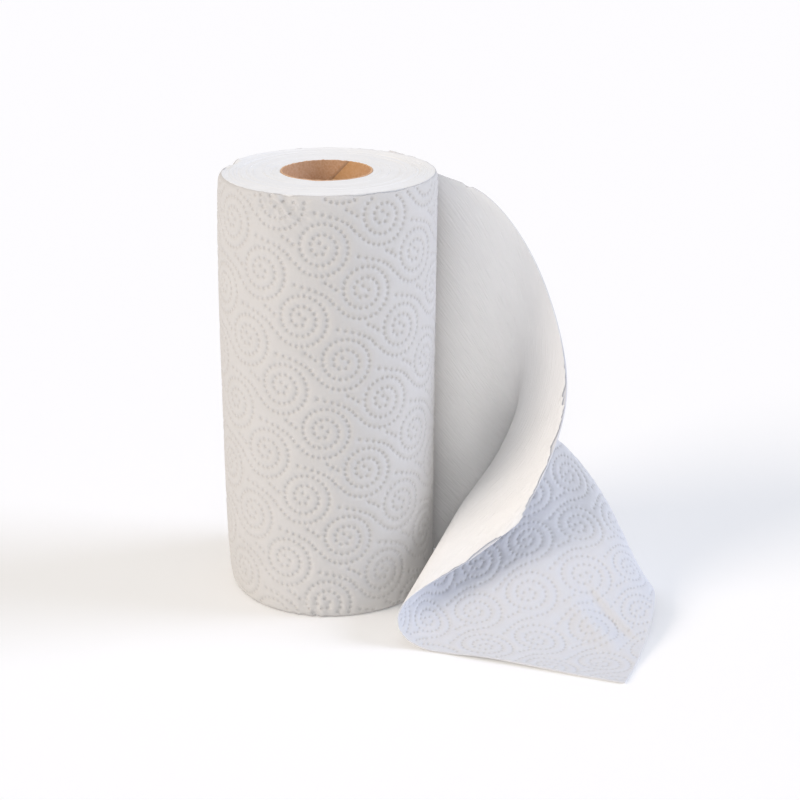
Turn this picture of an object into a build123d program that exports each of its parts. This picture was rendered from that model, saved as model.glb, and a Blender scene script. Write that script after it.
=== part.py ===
# A paper towel roll standing on its end, with its last sheet pulled loose and folded over on the table.
# Frame: origin on the core's axis at the table, +Z up, the loose sheet to the right (+X) and forward (-Y).
import os

from build123d import *

os.makedirs("parts", exist_ok=True)

# Driving dimensions in millimetres. The web of paper is as wide as the roll is high.
ROLL_HEIGHT = 225.0
ROLL_RADIUS = 55.75
SHEET_THICKNESS = 0.6
SHEET_LENGTH = 265.0
CORE_INNER_RADIUS = 22.5
CORE_WALL = 0.9
TURN_GROOVE_WIDTH = 0.9
TURN_GROOVE_DEPTH = 0.4
TURN_GROOVE_COUNT = 5
# The angle, in degrees from +X, of the upright line where the last sheet leaves the roll.
LEAVING_ANGLE = 55.0

CORE_OUTER_RADIUS = CORE_INNER_RADIUS + CORE_WALL
INNER_TURN_RADIUS = ROLL_RADIUS - SHEET_THICKNESS

# The cardboard core: a plain tube, flush with the paper at both ends.
with BuildPart() as core:
    with BuildSketch():
        Circle(CORE_OUTER_RADIUS)
        Circle(CORE_INNER_RADIUS, mode=Mode.SUBTRACT)
    extrude(amount=ROLL_HEIGHT)
core.part.label = "core"

# The wound towel: a four-centre spiral in plan, so that its outline steps by one sheet where the last turn ends.
# Fine rings on both ends are the edges of looser turns.
QUARTER_STEP = SHEET_THICKNESS / 4
groove_spacing = (INNER_TURN_RADIUS - CORE_OUTER_RADIUS) / (TURN_GROOVE_COUNT + 1)
with BuildPart() as paper_roll:
    with BuildSketch(Plane.XY.rotated((0, 0, LEAVING_ANGLE))):
        with BuildLine():
            CenterArc((0, 0), INNER_TURN_RADIUS, 0, -90)
            CenterArc((0, QUARTER_STEP), INNER_TURN_RADIUS + QUARTER_STEP, -90, -90)
            CenterArc((QUARTER_STEP, QUARTER_STEP), INNER_TURN_RADIUS + 2 * QUARTER_STEP, 180, -90)
            CenterArc((QUARTER_STEP, 0), INNER_TURN_RADIUS + 3 * QUARTER_STEP, 90, -90)
            Line((ROLL_RADIUS, 0), (INNER_TURN_RADIUS, 0))
        make_face()
        Circle(CORE_OUTER_RADIUS, mode=Mode.SUBTRACT)
    extrude(amount=ROLL_HEIGHT)
    with BuildSketch(Plane.XZ):
        for turn in range(TURN_GROOVE_COUNT):
            groove_radius = CORE_OUTER_RADIUS + (turn + 1) * groove_spacing
            for end, inwards in ((0, 1), (ROLL_HEIGHT, -1)):
                with BuildLine():
                    Polyline(
                        (groove_radius - TURN_GROOVE_WIDTH / 2, end),
                        (groove_radius, end + inwards * TURN_GROOVE_DEPTH),
                        (groove_radius + TURN_GROOVE_WIDTH / 2, end),
                        close=True,
                    )
                make_face()
    revolve(axis=Axis.Z, mode=Mode.SUBTRACT)
paper_roll.part.label = "paper_roll"

# The loose sheet as it lies. Each row of points crosses the sheet from its upper edge to its lower edge, on the
# smooth side that faced the roll. A point is its distance to the right of and behind the line where the sheet leaves
# the roll, and its height over the table. The stations are distances along and across the sheet as drawn here.
LENGTH_STATIONS = (0, 28, 60, 92, 122, 152, 188, 227, 265)
WIDTH_STATIONS = (0, 39, 78, 115, 150, 190, 225)
SHEET_ROWS = (
    # The line where it leaves the roll, and the flat stretch beside it.
    [(0, 0, 225), (0, 0, 186), (0, 0, 147), (0, 0, 110), (0, 0, 75), (0, 0, 35), (0, 0, 0)],
    [(23, -15, 217), (23, -15, 180), (23, -15, 142), (23, -15, 106), (23, -15, 72), (23, -15, 34), (23, -15, 0.4)],
    # The upright wall, its upper edge beginning to fall.
    [(49, -31, 209), (48, -27, 168), (47, -22, 131), (46, -19, 98), (46, -19, 66), (48, -23, 32), (50, -30, 0.4)],
    [(72, -38, 182), (69, -31, 143), (67, -21, 110), (68, -12, 85), (73, -10, 60), (78, -23, 30), (80, -40, 0.4)],
    # The bend, where the sheet turns back towards the front.
    [(84, -48, 155), (77, -39, 116), (69, -25, 87), (78, -18, 75), (94, -18, 65), (110, -34, 38), (111, -49, 1)],
    [(90, -56, 133), (75, -48, 90), (56, -34, 61), (71, -39, 56), (96, -45, 50), (122, -63, 34), (133, -64, 4)],
    # The fold along the sheet: its upper half lies back over its lower half.
    [(91, -68, 106), (66, -66, 68), (39, -59, 47), (53, -72, 36), (78, -81, 32), (114, -94, 22), (138, -97, 9)],
    [(81, -82, 77), (53, -83, 51), (23, -91, 33), (30, -107, 15), (58, -121, 11), (95, -135, 5), (126, -142, 2.2)],
    # The torn free end, curled at the left and flat on the table at the right.
    [(67, -93, 51), (38, -107, 34), (6, -123, 18.5), (14, -132, 2), (45, -143, 1.2), (80, -156, 0.8), (114, -168.5, 0.5)],
)
# The sheet is faceted between these stations, closest together at the bend and at the fold.
FACET_LENGTHS = (
    (0, 18, 36, 52, 66, 78, 87, 94, 101, 107, 113, 119, 125, 131, 137, 143, 150)
    + (158, 167, 178, 190, 203, 218, 234, 250, 265)
)
FACET_WIDTHS = (
    (0, 12, 24, 36, 46, 54, 60, 65, 70, 74, 78, 82, 86, 90, 95, 101, 107, 114)
    + (122, 131, 141, 152, 164, 177, 190, 202, 214, 225)
)


def smooth_through(points, stations, wanted, first_slope=None):
    """Points wanted on the cubic spline through points at stations, free at an end where no slope is given."""
    gaps = [after - before for before, after in zip(stations[:-1], stations[1:])]
    slopes = [(after - before) / gap for before, after, gap in zip(points[:-1], points[1:], gaps)]
    pivots = [1.0]
    links = [0.0]
    loads = [Vector(0, 0, 0)]
    if first_slope is not None:
        pivots = [2.0]
        links = [1.0]
        loads = [(slopes[0] - first_slope) * (6 / gaps[0])]
    for k in range(1, len(gaps)):
        share = gaps[k - 1] / pivots[k - 1]
        pivots.append(2 * (gaps[k - 1] + gaps[k]) - share * links[k - 1])
        links.append(gaps[k])
        loads.append((slopes[k] - slopes[k - 1]) * 6 - loads[k - 1] * share)
    bends = [Vector(0, 0, 0)] * len(points)
    for k in reversed(range(len(gaps))):
        bends[k] = (loads[k] - bends[k + 1] * links[k]) / pivots[k]
    found = []
    for place in wanted:
        k = max(i for i in range(len(gaps)) if stations[i] <= place)
        near = (stations[k + 1] - place) / gaps[k]
        far = 1 - near
        straight = points[k] * near + points[k + 1] * far
        bent = bends[k] * (near**3 - near) + bends[k + 1] * (far**3 - far)
        found.append(straight + bent * (gaps[k] ** 2 / 6))
    return found


# The smooth side, as a grid of points, and the embossed side one thickness away from it.
leaving_point = Vector(INNER_TURN_RADIUS, 0, 0).rotate(Axis.Z, LEAVING_ANGLE)
along = SHEET_LENGTH / LENGTH_STATIONS[-1]
across = ROLL_HEIGHT / WIDTH_STATIONS[-1]
leaving_slope = Vector(0, -along, 0).rotate(Axis.Z, LEAVING_ANGLE)
places = [[leaving_point + Vector(x * along, y * along, z * across) for x, y, z in row] for row in SHEET_ROWS]
lengthways = [
    smooth_through([row[k] for row in places], LENGTH_STATIONS, FACET_LENGTHS, leaving_slope)
    for k in range(len(WIDTH_STATIONS))
]
smooth_side = [
    smooth_through([line[k] for line in lengthways], WIDTH_STATIONS, FACET_WIDTHS)
    for k in range(len(FACET_LENGTHS))
]
embossed_side = [[point + leaving_point.normalized() * SHEET_THICKNESS for point in smooth_side[0]]]
last_row = len(FACET_LENGTHS) - 1
last_column = len(FACET_WIDTHS) - 1
for k in range(1, last_row + 1):
    embossed_side.append([])
    for m in range(last_column + 1):
        ahead = smooth_side[min(k + 1, last_row)][m] - smooth_side[k - 1][m]
        aside = smooth_side[k][min(m + 1, last_column)] - smooth_side[k][max(m - 1, 0)]
        embossed_side[k].append(smooth_side[k][m] + ahead.cross(aside).normalized() * SHEET_THICKNESS)


def facets(first, second):
    """Flat three-cornered faces that join two rows of points, each four corners split across the shorter way."""
    faces = []
    for a, b, c, d in zip(first[:-1], first[1:], second[1:], second[:-1]):
        halves = ((a, b, c), (a, c, d))
        if (b - d).length < (a - c).length:
            halves = ((a, b, d), (b, c, d))
        for corners in halves:
            faces.append(Face(Wire.make_polygon(corners)))
    return faces


sheet_faces = facets(smooth_side[0], embossed_side[0]) + facets(smooth_side[-1], embossed_side[-1])
for side in (smooth_side, embossed_side):
    for first, second in zip(side[:-1], side[1:]):
        sheet_faces += facets(first, second)
for edge in (0, -1):
    sheet_faces += facets([row[edge] for row in smooth_side], [row[edge] for row in embossed_side])
with BuildPart() as loose_sheet:
    add(Solid(Shell(sheet_faces)))
loose_sheet.part.label = "loose_sheet"

export_step(core.part, "parts/core.step")
export_step(paper_roll.part, "parts/paper_roll.step")
export_step(loose_sheet.part, "parts/loose_sheet.step")
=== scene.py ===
import math
import random

import bpy
import numpy as np
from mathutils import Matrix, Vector, noise
from mathutils.geometry import delaunay_2d_cdt


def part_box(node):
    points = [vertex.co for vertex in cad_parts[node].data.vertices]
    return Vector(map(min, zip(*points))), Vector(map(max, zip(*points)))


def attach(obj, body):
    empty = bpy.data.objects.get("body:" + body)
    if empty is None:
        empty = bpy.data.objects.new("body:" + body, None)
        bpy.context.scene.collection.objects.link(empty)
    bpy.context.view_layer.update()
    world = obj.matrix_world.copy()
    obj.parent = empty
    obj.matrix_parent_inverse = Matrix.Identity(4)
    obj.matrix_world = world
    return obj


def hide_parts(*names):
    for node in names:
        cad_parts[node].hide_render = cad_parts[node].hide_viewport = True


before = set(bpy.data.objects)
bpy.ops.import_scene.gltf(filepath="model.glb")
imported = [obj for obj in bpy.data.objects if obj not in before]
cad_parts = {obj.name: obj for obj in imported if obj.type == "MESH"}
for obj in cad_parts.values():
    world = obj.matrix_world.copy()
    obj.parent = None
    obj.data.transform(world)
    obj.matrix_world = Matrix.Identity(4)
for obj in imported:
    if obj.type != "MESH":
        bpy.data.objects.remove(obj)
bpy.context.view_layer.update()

bpy.ops.object.select_all(action="DESELECT")


# Cardboard core
# A tube of kraft board, wound on the slant from glued strips and cut to length by a round knife, which leaves
# a soft fuzzy rim. The first turn of towel is glued to its outside.
core_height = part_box("core")[1].z
core_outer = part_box("core")[1].x
core_wall = 0.0009
strip_rise = 0.15
lap_start = 0.667
lap_height = 0.0003
upper_fuzz = 0.00035
lower_fuzz = 0.0001

bpy.ops.mesh.primitive_cylinder_add(
    vertices=180,
    radius=core_outer,
    depth=core_height,
    end_fill_type="NOTHING",
    location=(0, 0, core_height / 2),
)
core = bpy.context.object
core.name = "cardboard_core"
bpy.ops.object.transform_apply(location=True, rotation=True, scale=True)
bpy.ops.object.mode_set(mode="EDIT")
bpy.ops.mesh.select_mode(type="EDGE")
bpy.ops.mesh.select_all(action="DESELECT")
bpy.ops.object.mode_set(mode="OBJECT")
for edge in core.data.edges:
    first, second = (core.data.vertices[k].co for k in edge.vertices)
    edge.select = abs(first.z - second.z) > core_height / 2
bpy.ops.object.mode_set(mode="EDIT")
bpy.ops.mesh.subdivide(number_cuts=70)
bpy.ops.object.mode_set(mode="OBJECT")
wall = core.modifiers.new("wall", "SOLIDIFY")
wall.thickness = core_wall
wall.offset = -1
bpy.ops.object.modifier_apply(modifier="wall")

# The lap of the inner strip stands proud of the wall, and the knife has roughened both rims.
for vertex in core.data.vertices:
    place = vertex.co
    radius = math.hypot(place.x, place.y)
    turned = math.atan2(place.y, place.x)
    if radius < core_outer - core_wall / 2:
        lap = (turned / math.tau + place.z / strip_rise - lap_start) % 1
        scale = (radius - lap_height * math.exp(-lap / 0.06)) / radius
        place.x *= scale
        place.y *= scale
    if min(place.z, core_height - place.z) < 0.0002:
        fuzz = noise.noise(Vector((math.cos(turned) * 14, math.sin(turned) * 14, radius * 900)))
        place.z += upper_fuzz * fuzz if place.z > core_height / 2 else lower_fuzz * (1 + fuzz)
bpy.ops.object.shade_smooth_by_angle(angle=math.radians(40))


def colour(text):
    """A linear colour with full alpha from an sRGB hex value."""
    parts = [int(text[k : k + 2], 16) / 255 for k in (1, 3, 5)]
    linear = [part / 12.92 if part <= 0.04045 else ((part + 0.055) / 1.055) ** 2.4 for part in parts]
    return (*linear, 1.0)


def add_node(tree, kind, inputs=None, **settings):
    """A new node with its settings, its sockets set to values or linked from other sockets."""
    made = tree.nodes.new(kind)
    for name, value in settings.items():
        setattr(made, name, value)
    for key, value in (inputs or {}).items():
        if isinstance(value, bpy.types.NodeSocket):
            tree.links.new(value, made.inputs[key])
        else:
            made.inputs[key].default_value = value
    return made


# Kraft board: unbleached wood pulp, pressed and uncoated, so it is matt brown with fine flecks of darker and
# paler fibre. Painted light makes each strip lighter and more golden towards one side, and a thin line of
# painted shade runs where the strips lap.
kraft = bpy.data.materials.new("kraft_board")
kraft.use_nodes = True
tree = kraft.node_tree
shader = tree.nodes["Principled BSDF"]
shader.inputs["Roughness"].default_value = 0.88
shader.inputs["Specular IOR Level"].default_value = 0.25
where = add_node(tree, "ShaderNodeTexCoord").outputs["Object"]
# Flecks about 1.1 mm across, drawn coarser than real fibre so that they show.
flecks = add_node(tree, "ShaderNodeTexNoise", {"Vector": where, "Scale": 900.0, "Detail": 4.0})
fleck_share = add_node(
    tree, "ShaderNodeMapRange", {"Value": flecks.outputs["Fac"], "From Min": 0.25, "From Max": 0.75}
)
board = add_node(
    tree,
    "ShaderNodeMix",
    {0: fleck_share.outputs[0], 6: colour("#CFA27C"), 7: colour("#E3BF9F")},
    data_type="RGBA",
)
axes = add_node(tree, "ShaderNodeSeparateXYZ", {0: where})
turned = add_node(tree, "ShaderNodeMath", {0: axes.outputs[1], 1: axes.outputs[0]}, operation="ARCTAN2")
around = add_node(tree, "ShaderNodeMath", {0: turned.outputs[0], 1: math.tau}, operation="DIVIDE")
rise = add_node(tree, "ShaderNodeMath", {0: axes.outputs[2], 1: strip_rise}, operation="DIVIDE")
helix = add_node(tree, "ShaderNodeMath", {0: around.outputs[0], 1: rise.outputs[0]}, operation="ADD")
shifted = add_node(tree, "ShaderNodeMath", {0: helix.outputs[0], 1: 4 - lap_start}, operation="ADD")
lap = add_node(tree, "ShaderNodeMath", {0: shifted.outputs[0]}, operation="FRACT")
# Painted shade: a thin dark line along each lap.
painted_lap_shade = add_node(
    tree,
    "ShaderNodeMapRange",
    {"Value": lap.outputs[0], "From Min": 0.0, "From Max": 0.018, "To Min": 0.45, "To Max": 0.0},
)
# Painted light: the strip is painted lighter and golden on the side that meets the next lap.
painted_light_golden_share = add_node(
    tree, "ShaderNodeMapRange", {"Value": lap.outputs[0], "From Min": 0.8, "From Max": 1.0, "To Max": 0.5}
)
painted_light_golden = add_node(
    tree,
    "ShaderNodeMix",
    {0: painted_light_golden_share.outputs[0], 6: board.outputs[2], 7: colour("#E2B272")},
    data_type="RGBA",
)
brown = add_node(
    tree,
    "ShaderNodeMix",
    {0: painted_lap_shade.outputs[0], 6: painted_light_golden.outputs[2], 7: colour("#5E4026")},
    data_type="RGBA",
)
tree.links.new(brown.outputs[2], shader.inputs["Base Color"])
fibre = add_node(
    tree, "ShaderNodeBump", {"Strength": 0.5, "Distance": 0.0003, "Height": flecks.outputs["Fac"]}
)
tree.links.new(fibre.outputs[0], shader.inputs["Normal"])
core.data.materials.append(kraft)
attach(core, "root")
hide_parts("core")


# Wound towel
# Some fifty turns of two-ply tissue on the core, cut to width by a log saw. Its two ends show the edge of
# every turn as a fine ring, a little higher or lower than the next because the web wandered as it was wound.
roll_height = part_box("paper_roll")[1].z
roll_radius = 0.05575
loose_pitch = 0.00062
leaving_degrees = 55
leaving_angle = math.radians(leaving_degrees)
turn_length = math.tau * roll_radius
step_per_turn = 0.0006
outer_turn_thickness = 0.00055
outer_turn_clearance = 0.00003
glue_line = 0.0001
last_two_turns = 0.00125
hidden_recess = 0.003
end_depth = 0.012
nicked_from = 0.0505


def bell(values, middle, width):
    """One at the middle, falling smoothly to nothing about three widths away."""
    return np.exp(-(((values - middle) / width) ** 2))


def worn_away(degrees, above):
    """Metres by which the roll's side lies inside a true cylinder, at degrees round and millimetres up."""
    full = roll_height * 1000
    below = full - above
    # Both edges are rubbed round, the upper one most on the left, and the foot is crushed from standing.
    rubbed = 0.0008 * np.exp(-below / 1.6) + 0.0011 * bell(degrees, 185, 38) * np.exp(-below / 9)
    crushed = 0.0011 * np.exp(-above / 2.5) + 0.0014 * bell(degrees, 205, 34) * np.exp(-((above / 12) ** 1.3))
    # The last turns are slack, so they belly out on the left and lean out at the upper right.
    slack = 0.0013 * bell(degrees, 190, 42) * np.sin(math.pi * np.clip(above / full, 0, 1))
    slack = slack + 0.0012 * bell(degrees, 350, 36) * (above / full) ** 2
    return rubbed + crushed - slack


chance = random.Random(7)
first_turn = core_outer + glue_line
last_turn = roll_radius - last_two_turns
turns = int((last_turn - first_turn) / loose_pitch)
turn_pitch = (last_turn - first_turn) / turns
upper = [(first_turn, 0.0002)]
for turn in range(turns):
    upper.append((first_turn + (turn + 0.5) * turn_pitch, 0.00008 * chance.random()))
    upper.append((first_turn + (turn + 1) * turn_pitch, 0.0001 + 0.00014 * chance.random()))
profile = [(radius, 0, roll_height - sunk) for radius, sunk in upper]
# The side is hidden by the outer turn, so it lies well inside it.
profile += [(last_turn - hidden_recess, 0, high) for high in (roll_height - end_depth, end_depth)]
profile += [(radius, 0, sunk) for radius, sunk in reversed(upper)]
profile_mesh = bpy.data.meshes.new("wound_towel")
profile_mesh.from_pydata(profile, [(k, (k + 1) % len(profile)) for k in range(len(profile))], [])
wound = bpy.data.objects.new("wound_towel", profile_mesh)
bpy.context.collection.objects.link(wound)
bpy.ops.object.select_all(action="DESELECT")
wound.select_set(True)
bpy.context.view_layer.objects.active = wound
bpy.ops.object.mode_set(mode="EDIT")
bpy.ops.mesh.select_all(action="SELECT")
bpy.ops.mesh.spin(steps=220, angle=math.tau, center=(0, 0, 0), axis=(0, 0, 1))
bpy.ops.mesh.select_all(action="SELECT")
bpy.ops.mesh.remove_doubles(threshold=0.00002)
bpy.ops.mesh.normals_make_consistent(inside=False)
bpy.ops.object.mode_set(mode="OBJECT")

# Each turn wanders up and down on its way round, and the outermost ones follow the spiral of the last turn.
for vertex in wound.data.vertices:
    place = vertex.co
    radius = math.hypot(place.x, place.y)
    turned = math.atan2(place.y, place.x)
    gone = ((leaving_angle - turned) % math.tau) / math.tau
    under = roll_radius - step_per_turn * (1 - gone) - outer_turn_thickness - outer_turn_clearance
    degrees = (math.degrees(turned) - leaving_degrees) % 360 + leaving_degrees
    under -= worn_away(degrees, 1000 * place.z)
    wider = first_turn + (radius - first_turn) * (under - first_turn) / (last_turn - first_turn)
    place.x *= wider / radius
    place.y *= wider / radius
    wander = noise.noise(Vector((math.cos(turned) * 1.3, math.sin(turned) * 1.3, radius * 700)))
    wave = noise.noise(Vector((math.cos(turned) * 2.2 + 9, math.sin(turned) * 2.2, radius * 60)))
    drop = 0.00015 + 0.00012 * wander + 0.0003 * wave
    bitten = 0.0022 * bell(degrees, 157, 3.5) + 0.0012 * bell(degrees, 169, 9)
    drop += bitten * min(max((radius - nicked_from) / 0.003, 0), 1) if place.z > roll_height / 2 else 0
    place.z += -max(drop, 0) if place.z > roll_height / 2 else max(drop, 0)
bpy.ops.object.shade_smooth_by_angle(angle=math.radians(60))

# Tissue, cut edge: the sawn edges of creped tissue, packed close. They are matt and whiter than the sheet's
# face, with a faint grey mottle where the turns are looser.
cut_tissue = bpy.data.materials.new("tissue_cut_edge")
cut_tissue.use_nodes = True
tree = cut_tissue.node_tree
shader = tree.nodes["Principled BSDF"]
shader.inputs["Roughness"].default_value = 0.95
shader.inputs["Specular IOR Level"].default_value = 0.2
where = add_node(tree, "ShaderNodeTexCoord").outputs["Object"]
# Loose and tight places about 9 mm across, and fibre ends about 1 mm across, drawn coarse so that they show.
patches = add_node(tree, "ShaderNodeTexNoise", {"Vector": where, "Scale": 110.0, "Detail": 3.0})
white = add_node(
    tree,
    "ShaderNodeMix",
    {0: patches.outputs["Fac"], 6: colour("#EFEFEF"), 7: colour("#F5F5F4")},
    data_type="RGBA",
)
tree.links.new(white.outputs[2], shader.inputs["Base Color"])
ends = add_node(tree, "ShaderNodeTexNoise", {"Vector": where, "Scale": 1000.0, "Detail": 2.0})
furry = add_node(
    tree, "ShaderNodeBump", {"Strength": 0.35, "Distance": 0.0004, "Height": ends.outputs["Fac"]}
)
tree.links.new(furry.outputs[0], shader.inputs["Normal"])
wound.data.materials.append(cut_tissue)
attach(wound, "root")
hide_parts("paper_roll")


# Outer turn
# The last full turn of the two-ply web. A steel roller has pressed rows of small dots into it, in a common
# spiral pattern, so the paper puffs up between the pits. Its edges are nicked and rubbed by handling.
# Places on the web are millimetres along it and down it; heights are metres.
web_width = 225.0
dot_pitch = 2.95
closest_dots = 2.1
first_spiral = (-208.2, 25.6)
spiral_step = (-21.0, 22.4)
row_step = (10.6, 36.4)
puff = 0.00025
# Deeper than real pits, so that they show.
pit_depth = 0.00095


def spiral_motif():
    """The dots of one spiral with its tail, as millimetres along the web and down it from the middle."""
    dots = [(0.6, -2.2)]
    turn = 0.0
    while turn < 2.41:
        radius = 2.3 + 5.4 * turn
        dots.append((-radius * math.cos(math.tau * turn), radius * math.sin(math.tau * turn)))
        turn += dot_pitch / (math.tau * radius)
    corners = [(15.3, 6.2), (18.0, 1.3), (25.0, -1.0), (34.4, -3.1)]
    for k in range(8):
        t = k / 7
        share = ((1 - t) ** 3, 3 * t * (1 - t) ** 2, 3 * t * t * (1 - t), t**3)
        along, down = (sum(part * corner[axis] for part, corner in zip(share, corners)) for axis in (0, 1))
        dots.append((along, down))
    dots += [(19.1, -4.5), (16.4, -3.0), (13.9, -1.2)]
    return dots


def eased(share):
    """A share held between nothing and one, with soft ends."""
    share = min(max(share, 0), 1)
    return share * share * (3 - 2 * share)


def dots_between(start, end):
    """Every dot of the pattern on one stretch of the web, in millimetres along and down."""
    motif = spiral_motif()
    kept = []
    taken = {}
    for i in range(-30, 31):
        for j in range(-30, 31):
            middle = [first_spiral[k] + spiral_step[k] * i + row_step[k] * j for k in (0, 1)]
            if not (start - 60 < middle[0] < end + 60 and -50 < middle[1] < web_width + 50):
                continue
            for along, down in motif:
                s, w = middle[0] + along, middle[1] + down
                # The stretched free sheet carries its pattern a little back and down from the roll's.
                part = eased((s + 121.6) / 121.6)
                s, w = s - 7.6 * part, w + 8.8 * part
                # Pulling drew the pattern out along the upright wall and left it closer where the sheet lies.
                part = eased((s + 10) / 120)
                drawn_s = 219.0 + 0.788 * (s - 216) - 0.022 * (w - 194)
                drawn_w = 193.7 + 0.018 * (s - 216) + 1.012 * (w - 194)
                s, w = s + part * (drawn_s - s), w + part * (drawn_w - w)
                if not (start + 1.3 < s < end - 1.3 and 1.3 < w < web_width - 1.3):
                    continue
                cell = (int(s // closest_dots), int(w // closest_dots))
                near = [
                    other
                    for a in (-1, 0, 1)
                    for b in (-1, 0, 1)
                    for other in taken.get((cell[0] + a, cell[1] + b), ())
                ]
                if all(math.hypot(s - x, w - y) > closest_dots for x, y in near):
                    taken.setdefault(cell, []).append((s, w))
                    kept.append((s, w))
    return kept


def embossed_ply(name, start, end, edge_step, rings, depth, lay, back, finer=()):
    """A closed sheet, dotted in front and plain behind. Each ring round a dot has a count of points, a radius
    and a share of the depth. lay puts places and heights in space, the plain side lies back behind, and finer
    holds places that need closer points."""
    cells_per_mm = 2.5
    counts = (round((end - start) / edge_step), round(web_width / edge_step))
    across = [start + (end - start) * k / counts[0] for k in range(counts[0] + 1)]
    downs = [web_width * k / counts[1] for k in range(counts[1] + 1)]
    border = [(k, 0) for k in range(counts[0])] + [(counts[0], k) for k in range(counts[1])]
    border += [(k, counts[1]) for k in range(counts[0], 0, -1)] + [(0, k) for k in range(counts[1], 0, -1)]
    flat = [(across[i], downs[j]) for i, j in border]
    heights = [0.0] * len(flat)
    busy = set()
    for s, w in dots_between(start, end):
        flat.append((s, w))
        heights.append(-depth)
        for count, radius, sunk in rings:
            for k in range(count):
                turned = math.tau * (k + 0.5 * (sunk > 0)) / count
                flat.append((s + radius * math.cos(turned), w + radius * math.sin(turned)))
                heights.append(-depth * sunk)
        for a in range(-3, 4):
            for b in range(-3, 4):
                if math.hypot(a, b) < 3.2:
                    busy.add((round(s * cells_per_mm) + a, round(w * cells_per_mm) + b))
    # Plain paper between the dots stands a little proud.
    puff_step, puff_row = 2.7, 2.35
    near_edge, far_edge = 2.2, 1.6
    row = 0
    w = near_edge
    while w < web_width - far_edge:
        s = start + near_edge + puff_step / 2 * (row % 2)
        while s < end - far_edge:
            if (round(s * cells_per_mm), round(w * cells_per_mm)) not in busy:
                flat.append((s, w))
                heights.append(puff)
            s += puff_step
        w += puff_row
        row += 1
    for s, w in finer:
        inside = start + 1 < s < end - 1 and 1 < w < web_width - 1
        if inside and (round(s * cells_per_mm), round(w * cells_per_mm)) not in busy:
            flat.append((s, w))
            heights.append(0.0)
    found = delaunay_2d_cdt([Vector(place) for place in flat], [], [], 0, 1e-5)
    sources = [source[0] for source in found[3]]
    flat_front = np.array([flat[k] for k in sources])
    height_front = np.array([heights[k] for k in sources])
    renumbered = {source: k for k, source in enumerate(sources)}
    rim = [renumbered[k] for k in range(len(border))]
    grid = [(across[i], downs[j]) for i in range(counts[0] + 1) for j in range(counts[1] + 1)]
    flat_back = np.array(grid)
    front = lay(flat_front[:, 0], flat_front[:, 1], height_front)
    behind = lay(flat_back[:, 0], flat_back[:, 1], np.full(len(grid), -back))
    first_back = len(front)
    faces = [tuple(face) for face in found[2]]
    column = counts[1] + 1
    for i in range(counts[0]):
        for j in range(counts[1]):
            corner = first_back + i * column + j
            faces.append((corner, corner + 1, corner + column + 1, corner + column))
    behind_rim = [first_back + i * column + j for i, j in border]
    for k in range(len(border)):
        after = (k + 1) % len(border)
        faces.append((rim[k], behind_rim[k], behind_rim[after], rim[after]))
    mesh = bpy.data.meshes.new(name)
    mesh.from_pydata(np.vstack((front, behind)).tolist(), [], faces)
    # The web's own distances, in metres, are kept as a UV map for the crepe to follow, and an attribute says
    # how far each point was pressed, which the tissue uses to paint shade into the pits.
    web = np.vstack((flat_front, flat_back)) * 0.001
    corners = np.empty(len(mesh.loops), dtype=np.int32)
    mesh.loops.foreach_get("vertex_index", corners)
    mesh.uv_layers.new(name="web").data.foreach_set("uv", web[corners].ravel().astype(np.float32))
    pressed = np.concatenate((np.clip(-height_front / depth, 0, 1), np.zeros(len(grid))))
    mesh.attributes.new("pressed", "FLOAT", "POINT").data.foreach_set("value", pressed.astype(np.float32))
    piece = bpy.data.objects.new(name, mesh)
    bpy.context.collection.objects.link(piece)
    bpy.ops.object.select_all(action="DESELECT")
    piece.select_set(True)
    bpy.context.view_layer.objects.active = piece
    bpy.ops.object.mode_set(mode="EDIT")
    bpy.ops.mesh.select_all(action="SELECT")
    bpy.ops.mesh.normals_make_consistent(inside=False)
    bpy.ops.object.mode_set(mode="OBJECT")
    bpy.ops.object.shade_smooth_by_angle(angle=math.radians(70))
    return piece


def ripple(values, length, seed):
    """A smooth wave of uneven heights, about the given length from crest to crest."""
    return np.array([noise.noise(Vector((value / length, seed, 0.37 * seed))) for value in values])


def lay_on_roll(s, w, height):
    """Places on the outside of the roll."""
    angle = leaving_angle - s * 0.001 / roll_radius
    degrees = np.degrees(angle)
    radius = roll_radius + step_per_turn * s * 0.001 / turn_length + height
    up = web_width - w
    # Where the loose sheet leaves, the turn rises to meet it.
    radius = radius - worn_away(degrees, up) + 0.00025 * np.exp(s / 6)
    # Puckers at the foot in front, a crumple under the upper edge, and a gape to the right of it.
    pucker = bell(degrees, 262, 13) * np.exp(-((up / 11) ** 2))
    radius = radius + 0.0009 * pucker * np.sin(degrees * 0.95)
    crumple = bell(degrees, 247, 11) * bell(w, 6, 8)
    fine = 0.0022 * ripple(s + 0.8 * w, 3.6, 3.1)
    coarse = 0.0018 * ripple(s - 0.7 * w, 6.2, 4.7)
    radius = radius + crumple * (0.0011 + fine + coarse)
    radius = radius + 0.0007 * bell(degrees, 308, 19) * np.exp(-w / 4)
    radius = radius + 0.0005 * ripple(s + 0.4 * w, 38, 1.7) * np.minimum(1, np.minimum(w, up) / 20)
    # Nicks in the upper edge: a torn one at the back left, small ones in front.
    sunk = 2.4 * bell(degrees, 157, 3.2) + 1.3 * bell(degrees, 169, 9) + 0.9 * bell(degrees, 289, 2.2)
    sunk = sunk + 0.8 * bell(degrees, 252, 4) + 0.5 * bell(degrees, 308, 17)
    sunk = sunk * (1 + 1.2 * ripple(s, 1.6, 5.3)) + 0.4 + 0.4 * ripple(s, 2.8, 8.9)
    down = w + sunk * np.maximum(0, 1 - w / 14) ** 2
    down = down - (0.3 + 0.3 * ripple(s, 3.5, 6.1)) * np.maximum(0, 1 - up / 14) ** 2
    high = (web_width - down) * 0.001
    return np.column_stack((radius * np.cos(angle), radius * np.sin(angle), high))


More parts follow.
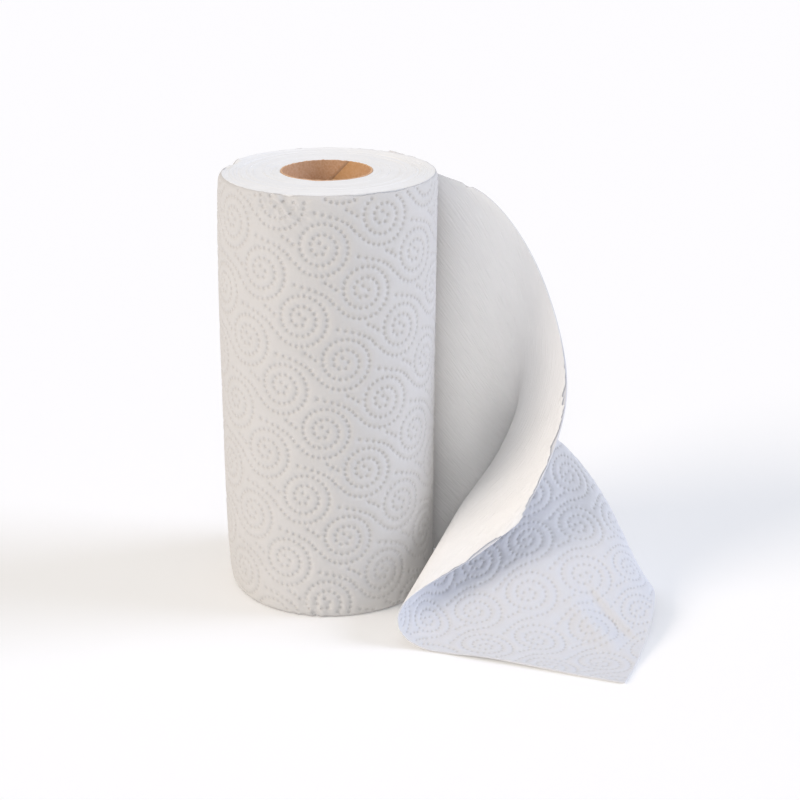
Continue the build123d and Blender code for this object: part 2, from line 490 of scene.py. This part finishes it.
outer_turn = embossed_ply(
    "outer_turn",
    start=-turn_length * 1000,
    end=0.0,
    edge_step=2.5,
    rings=((6, 0.42, 0.85), (8, 1.05, 0.0)),
    depth=pit_depth,
    lay=lay_on_roll,
    back=outer_turn_thickness,
    finer=[(s, w) for s in np.arange(-202, -170, 1.1) for w in np.arange(1.4, 18, 1.1)],
)

# Two-ply tissue: bleached pulp, creped off a drying cylinder with a blade, so it is matt, soft and white,
# with fine ridges across the web and a slight cloudiness. Its white is painted greyer than the paper is, as
# painted shade for the pits all over the dotted face.
tissue = bpy.data.materials.new("two_ply_tissue")
tissue.use_nodes = True
tree = tissue.node_tree
shader = tree.nodes["Principled BSDF"]
shader.inputs["Roughness"].default_value = 0.93
shader.inputs["Specular IOR Level"].default_value = 0.2
shader.inputs["Sheen Weight"].default_value = 0.08
shader.inputs["Sheen Roughness"].default_value = 0.6
web = add_node(tree, "ShaderNodeUVMap", uv_map="web").outputs[0]
# Crepe ridges about 0.9 mm apart and 6 mm long; real ones are three times finer and would not show.
crepe_scale = add_node(tree, "ShaderNodeMapping", {"Vector": web, "Scale": (1100, 170, 1)})
crepe = add_node(tree, "ShaderNodeTexNoise", {"Vector": crepe_scale.outputs[0], "Scale": 1.0, "Detail": 3.0})
# Cloudiness about 14 mm across.
clouds = add_node(tree, "ShaderNodeTexNoise", {"Vector": web, "Scale": 70.0, "Detail": 3.0})
# Painted shade: a greyer white than the paper, which darkens the whole dotted face.
white = add_node(
    tree,
    "ShaderNodeMix",
    {0: clouds.outputs["Fac"], 6: colour("#CFCDCB"), 7: colour("#D6D4D2")},
    data_type="RGBA",
    name="cloudy white",
)
# Each dot is painted darker than the paper round it, as deep as it was pressed: painted shade for the pits.
pressed = add_node(tree, "ShaderNodeAttribute", attribute_name="pressed")
pit_shade_share = add_node(
    tree, "ShaderNodeMath", {0: pressed.outputs["Fac"], 1: 0.3}, operation="MULTIPLY", name="pit shade share"
)
dotted = add_node(
    tree,
    "ShaderNodeMix",
    {0: pit_shade_share.outputs[0], 6: white.outputs[2], 7: colour("#A29A93")},
    data_type="RGBA",
    name="pit shaded white",
)
tree.links.new(dotted.outputs[2], shader.inputs["Base Color"])
ridges = add_node(
    tree, "ShaderNodeBump", {"Strength": 0.3, "Distance": 0.0002, "Height": crepe.outputs["Fac"]}
)
tree.links.new(ridges.outputs[0], shader.inputs["Normal"])
outer_turn.data.materials.append(tissue)
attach(outer_turn, "root")
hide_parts("paper_roll")


# Loose sheet, outer ply
# The last sheet of the web, pulled off the roll and left lying folded over. Its outer ply carries the dots.
# It runs on from the outer turn, stands as a wall, bends round and lies on the table with its dotted side up.
length_stations = np.array((0, 28, 60, 92, 122, 152, 188, 227, 265), dtype=float)
width_stations = np.array((0, 39, 78, 115, 150, 190, 225), dtype=float)
sheet_length = 265.0
sheet_start = (
    (roll_radius - step_per_turn) * math.cos(leaving_angle) * 1000,
    (roll_radius - step_per_turn) * math.sin(leaving_angle) * 1000,
)
leaving_slope = np.array((math.sin(leaving_angle), -math.cos(leaving_angle), 0))
outer_ply_lift = 0.00085
outer_ply_thickness = 0.0006
pulled_pit_depth = 0.0005
wrinkle_start = (197, 179.5)
wrinkle_course = (0.5, 0.866)
# Each row crosses the sheet from its upper to its lower edge. A point is how far right of the leaving line it
# lies, how far behind it, and how high.
sheet_rows = np.array(
    [
        [
            (0, 0, 225), (0, 0, 186), (0, 0, 147), (0, 0, 110),
            (0, 0, 75), (0, 0, 35), (0, 0, 0),
        ],
        [
            (23, -15, 217), (23, -15, 180), (23, -15, 142), (23, -15, 106),
            (23, -15, 72), (23, -15, 34), (23, -15, 0.4),
        ],
        [
            (49, -31, 209), (48, -27, 168), (47, -22, 131), (46, -19, 98),
            (46, -19, 66), (48, -23, 32), (50, -30, 0.4),
        ],
        [
            (72, -38, 182), (69, -31, 143), (67, -21, 110), (68, -12, 85),
            (73, -10, 60), (78, -23, 30), (80, -40, 0.4),
        ],
        [
            (84, -48, 155), (77, -39, 116), (69, -25, 87), (78, -18, 75),
            (94, -18, 65), (110, -34, 38), (111, -49, 1),
        ],
        [
            (90, -56, 133), (75, -48, 90), (56, -34, 61), (71, -39, 56),
            (96, -45, 50), (122, -63, 34), (133, -64, 4),
        ],
        [
            (91, -68, 106), (66, -66, 68), (39, -59, 47), (53, -72, 36),
            (78, -81, 32), (114, -94, 22), (138, -97, 9),
        ],
        [
            (81, -82, 77), (53, -83, 51), (23, -91, 33), (30, -107, 15),
            (58, -121, 11), (95, -135, 5), (126, -142, 2.2),
        ],
        [
            (67, -93, 51), (38, -107, 34), (6, -124, 18.5), (13, -135, 2),
            (45, -146, 1.2), (80, -159, 0.8), (114, -171.5, 0.5),
        ],
    ],
    dtype=float,
)


def spline_shares(stations, wanted, held):
    """What each station, and a held first slope, gives to a cubic spline at the wanted places."""
    count = len(stations)
    gaps = np.diff(stations)
    left = np.zeros((count, count))
    right = np.zeros((count, count))
    slope = np.zeros(count)
    left[0, 0] = left[-1, -1] = 1
    if held:
        left[0, :2] = (2, 1)
        right[0, :2] = np.array((-6, 6)) / gaps[0] ** 2
        slope[0] = -6 / gaps[0]
    for k in range(1, count - 1):
        left[k, k - 1 : k + 2] = (gaps[k - 1], 2 * (gaps[k - 1] + gaps[k]), gaps[k])
        right[k, k - 1 : k + 2] = (6 / gaps[k - 1], -6 / gaps[k - 1] - 6 / gaps[k], 6 / gaps[k])
    bends = np.linalg.solve(left, right)
    slope_bends = np.linalg.solve(left, slope)
    k = np.clip(np.searchsorted(stations, wanted, side="right") - 1, 0, count - 2)
    near = (stations[k + 1] - wanted) / gaps[k]
    far = 1 - near
    bent_near = (near**3 - near) * gaps[k] ** 2 / 6
    bent_far = (far**3 - far) * gaps[k] ** 2 / 6
    shares = bent_near[:, None] * bends[k] + bent_far[:, None] * bends[k + 1]
    shares[np.arange(len(wanted)), k] += near
    shares[np.arange(len(wanted)), k + 1] += far
    return shares, bent_near * slope_bends[k] + bent_far * slope_bends[k + 1]


def sheet_places(s, w):
    """Places on the smooth side of the loose sheet, in millimetres."""
    along, slope = spline_shares(length_stations, s, True)
    across, _ = spline_shares(width_stations, w, False)
    places = np.einsum("ni,nj,ijk->nk", along, across, sheet_rows) + slope[:, None] * leaving_slope
    return places + np.array((*sheet_start, 0))


def beside_wrinkle(s, w):
    """Distances along the wrinkle in the sheet and to its side."""
    run, fall = wrinkle_course
    ahead, aside = s - wrinkle_start[0], w - wrinkle_start[1]
    return run * ahead + fall * aside, -fall * ahead + run * aside


def lay_sheet(s, w, lift):
    """Places a distance in metres off the smooth side, with the sheet's small dents and its wrinkle."""
    s = np.asarray(s, dtype=float)
    w = np.asarray(w, dtype=float)
    # A small nick in the upper edge, near the roll.
    w = w + 1.2 * bell(s, 49.5, 1.6) * np.maximum(0, 1 - w / 8) ** 2
    ahead = sheet_places(s + 0.4, w) - sheet_places(s - 0.4, w)
    aside = sheet_places(s, w + 0.4) - sheet_places(s, w - 0.4)
    normal = np.cross(ahead, aside)
    normal /= np.linalg.norm(normal, axis=1)[:, None]
    # A wrinkle runs slantwise over the part on the table: a swelling, a long slope down and a sharp ridge.
    along, beside = beside_wrinkle(s, w)
    ends = 1 / (1 + np.exp(-(along - 5) / 3)) / (1 + np.exp((along - 43) / 2.5))
    slope = np.clip((beside + 12) / 12, 0, 1) ** 1.4 / (1 + np.exp((beside - 0.7) / 0.6))
    wrinkle = ends * (0.35 * bell(beside, 2.4, 1.8) - 2.0 * slope + 2.4 * bell(beside, -11, 5.5))
    dents = 0.55 * ripple(s + 0.3 * w, 46, 2.3) + 0.35 * ripple(w - 0.5 * s, 31, 7.7)
    free = np.clip(s / 40, 0, 1) * np.clip((web_width - w) / 30, 0, 1)
    shift = np.asarray(lift) * 1000 + wrinkle + dents * free
    places = sheet_places(s, w) + normal * shift[:, None]
    # Nothing goes below the table.
    places[:, 2] = np.maximum(places[:, 2], 0.06 + np.asarray(lift) * 300)
    return places * 0.001


def lay_outer_ply(s, w, height):
    """Places on the outer ply, its torn end a little uneven where the perforation gave way."""
    torn = np.clip((s - 257) / 8, 0, 1) * (0.5 + 0.6 * ripple(w, 3.1, 4.4))
    return lay_sheet(s - torn, w, height + outer_ply_lift)


run, fall = wrinkle_course
outer_ply = embossed_ply(
    "loose_sheet_outer_ply",
    start=0.0,
    end=sheet_length,
    edge_step=2.1,
    rings=((6, 0.42, 0.85), (7, 1.05, 0.0)),
    depth=pulled_pit_depth,
    lay=lay_outer_ply,
    back=outer_ply_thickness,
    finer=[
        (wrinkle_start[0] + run * along - fall * beside, wrinkle_start[1] + fall * along + run * beside)
        for along in np.arange(-6, 54, 1.0)
        for beside in np.arange(-9, 8, 0.9)
    ],
)

# Loose tissue: the same paper, but only one sheet of it, so some light comes through. Its painted pit shade
# is paler, its pits being pulled shallow, and away from the roll it is painted a cool tint: painted light,
# the colour of the cool light on the part lying on the table.
loose_tissue = tissue.copy()
loose_tissue.name = "loose_two_ply_tissue"
tree = loose_tissue.node_tree
shader = tree.nodes["Principled BSDF"]
shader.inputs["Subsurface Weight"].default_value = 0.3
shader.inputs["Subsurface Radius"].default_value = (1.0, 0.97, 0.94)
shader.inputs["Subsurface Scale"].default_value = 0.0003
# Weaker painted shade in the shallower pits.
tree.nodes["pit shade share"].inputs[1].default_value = 0.2
web = add_node(tree, "ShaderNodeUVMap", uv_map="web").outputs[0]
along_web = add_node(tree, "ShaderNodeSeparateXYZ", {0: web})
# Painted light: a cool tint over the sheet away from the roll.
painted_cool_light_share = add_node(
    tree,
    "ShaderNodeMapRange",
    {"Value": along_web.outputs[0], "From Min": 0.05, "From Max": 0.16, "To Max": 0.55},
)
painted_cool_light = add_node(
    tree,
    "ShaderNodeMix",
    {0: painted_cool_light_share.outputs[0], 6: tree.nodes["cloudy white"].outputs[2], 7: colour("#DFE3ED")},
    data_type="RGBA",
)
tree.links.new(painted_cool_light.outputs[2], tree.nodes["pit shaded white"].inputs[6])
outer_ply.data.materials.append(loose_tissue)
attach(outer_ply, "root")
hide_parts("loose_sheet")


# Loose sheet, inner ply
# The smooth ply behind the dots, which faced the roll. It is only tacked to the outer ply by the embossing,
# so along the falling upper edge and the torn end it has come away and torn back by a few millimetres.
inner_ply_thickness = 0.00016
inner_s = np.concatenate((np.arange(0, 130, 2.6), np.linspace(130, sheet_length, 113)))
inner_w = np.concatenate((np.linspace(0, 76, 65), np.linspace(78, web_width, 100)))
grid_s, grid_w = (part.ravel() for part in np.meshgrid(inner_s, inner_w, indexing="ij"))
# Each bite out of the upper edge: where along the sheet, how deep and how wide.
bites = ((181, 2.6, 6), (209, 3.2, 7), (232, 2.2, 6), (249, 2.0, 8))
bitten = sum(deep * bell(inner_s, middle, wide) for middle, deep, wide in bites)
edge_torn = 0.5 + bitten + 1.6 * ripple(inner_s, 4.6, 5.9) + 1.7 * ripple(inner_s, 2.3, 9.1)
edge_torn = edge_torn * np.clip((inner_s - 150) / 20, 0, 1)
end_torn = 4.4 * bell(inner_w, 26, 12) + 1.2 * ripple(inner_w, 7.0, 2.1) + 1.5 * ripple(inner_w, 2.4, 6.6)
end_torn = end_torn * np.clip((62 - inner_w) / 16, 0, 1)
torn_w = np.repeat(np.maximum(edge_torn, 0.05), len(inner_w))
torn_s = np.tile(np.maximum(end_torn, 0.3), len(inner_s))
inner_places = lay_sheet(
    grid_s - torn_s * np.clip(1 - (sheet_length - grid_s) / 12, 0, 1),
    grid_w + torn_w * np.clip(1 - grid_w / 12, 0, 1),
    0.0001
    - 0.0005 * np.exp(-grid_w / 5) * np.clip((grid_s - 140) / 25, 0, 1) * np.clip((268 - grid_s) / 20, 0, 1)
    - 0.0006 * np.exp(-(sheet_length - grid_s) / 6) * np.clip((66 - grid_w) / 22, 0, 1),
)
column = len(inner_w)
inner_faces = [
    (i * column + j, (i + 1) * column + j, (i + 1) * column + j + 1, i * column + j + 1)
    for i in range(len(inner_s) - 1)
    for j in range(column - 1)
]
inner_mesh = bpy.data.meshes.new("loose_sheet_inner_ply")
inner_mesh.from_pydata(inner_places.tolist(), [], inner_faces)
corners = np.empty(len(inner_mesh.loops), dtype=np.int32)
inner_mesh.loops.foreach_get("vertex_index", corners)
inner_web = np.column_stack((grid_s, grid_w)) * 0.001
inner_mesh.uv_layers.new(name="web").data.foreach_set("uv", inner_web[corners].ravel().astype(np.float32))
inner_ply = bpy.data.objects.new("loose_sheet_inner_ply", inner_mesh)
bpy.context.collection.objects.link(inner_ply)
bpy.ops.object.select_all(action="DESELECT")
inner_ply.select_set(True)
bpy.context.view_layer.objects.active = inner_ply
thickness = inner_ply.modifiers.new("thickness", "SOLIDIFY")
thickness.thickness = inner_ply_thickness
thickness.offset = 0
bpy.ops.object.modifier_apply(modifier="thickness")
bpy.ops.object.shade_smooth_by_angle(angle=math.radians(70))

# Smooth ply: the plain side of the same tissue, with no pits to hold shade, and painted paler still: painted
# light for the light that comes through the thin sheet. Raking light shows slanting creases where pulling
# has strained it.
smooth_tissue = tissue.copy()
smooth_tissue.name = "smooth_inner_tissue"
tree = smooth_tissue.node_tree
web = add_node(tree, "ShaderNodeUVMap", uv_map="web").outputs[0]
# Creases about 1.3 mm apart and 12 mm long.
slant = add_node(tree, "ShaderNodeMapping", {"Vector": web, "Rotation": (0, 0, math.radians(-36))})
creased = add_node(tree, "ShaderNodeMapping", {"Vector": slant.outputs[0], "Scale": (85, 760, 1)})
# Painted light: a far paler white than the dotted tissue.
tree.nodes["cloudy white"].inputs[6].default_value = colour("#F6F5F4")
tree.nodes["cloudy white"].inputs[7].default_value = colour("#FBFAF9")
creases = add_node(tree, "ShaderNodeTexNoise", {"Vector": creased.outputs[0], "Scale": 1.0, "Detail": 2.0})
strained = add_node(
    tree, "ShaderNodeBump", {"Strength": 0.8, "Distance": 0.0006, "Height": creases.outputs["Fac"]}
)
tree.links.new(strained.outputs[0], tree.nodes["Principled BSDF"].inputs["Normal"])
inner_ply.data.materials.append(smooth_tissue)
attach(inner_ply, "root")
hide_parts("loose_sheet")


# Floor
# A seamless sheet of white studio paper under the roll, wide enough to fill every view. It glows very
# slightly, which keeps its shadows pale.
bpy.ops.object.select_all(action="DESELECT")
bpy.ops.mesh.primitive_plane_add(size=80, location=(0, 0, 0))
floor = bpy.context.object
floor.name = "studio_floor"
paper = bpy.data.materials.new("studio_paper")
paper.use_nodes = True
shader = paper.node_tree.nodes["Principled BSDF"]
shader.inputs["Base Color"].default_value = colour("#FCFCFC")
shader.inputs["Roughness"].default_value = 1.0
shader.inputs["Specular IOR Level"].default_value = 0.0
shader.inputs["Emission Color"].default_value = (1, 1, 1, 1)
shader.inputs["Emission Strength"].default_value = 0.05
floor.data.materials.append(paper)


# Light and camera
# A warm soft light from the left, a cool one from the right, weak plain ones from beside the camera and from
# above, and an even white room. The camera stands where the photograph's perspective puts it.
def soft_sun(name, towards, spread, power, tint):
    """An even, far-off light from one side, as soft as its spread in degrees."""
    lamp = bpy.data.lights.new(name, "SUN")
    lamp.angle = math.radians(spread)
    lamp.energy = power
    lamp.color = colour(tint)[:3]
    holder = bpy.data.objects.new(name, lamp)
    holder.rotation_euler = Vector(towards).to_track_quat("Z", "Y").to_euler()
    bpy.context.collection.objects.link(holder)


soft_sun("key", (-0.82, -0.34, 0.48), 28, 1.35, "#FFF0E0")
soft_sun("fill", (0.9, 0.05, 0.44), 30, 1.6, "#DDE6FF")
soft_sun("front", (-0.04, -1.0, 0.42), 14, 0.4, "#FAFBFF")
soft_sun("top", (0.05, 0.0, 1.0), 40, 0.35, "#FFFFFF")
world = bpy.data.worlds.new("white_room")
world.use_nodes = True
world.node_tree.nodes["Background"].inputs["Color"].default_value = (1, 1, 1, 1)
world.node_tree.nodes["Background"].inputs["Strength"].default_value = 0.44
bpy.context.scene.world = world
bpy.context.scene.view_settings.view_transform = "Standard"

sensor_width = 36
focal_pixels = 1783.4
picture_pixels = 800
camera_data = bpy.data.cameras.new("camera")
camera_data.sensor_width = sensor_width
camera_data.lens = sensor_width * focal_pixels / picture_pixels
camera = bpy.data.objects.new("camera", camera_data)
camera.location = (0.03397, -0.88885, 0.42783)
camera.rotation_euler = (math.radians(69.79), 0, math.radians(-0.21))
bpy.context.collection.objects.link(camera)
bpy.context.scene.camera = camera
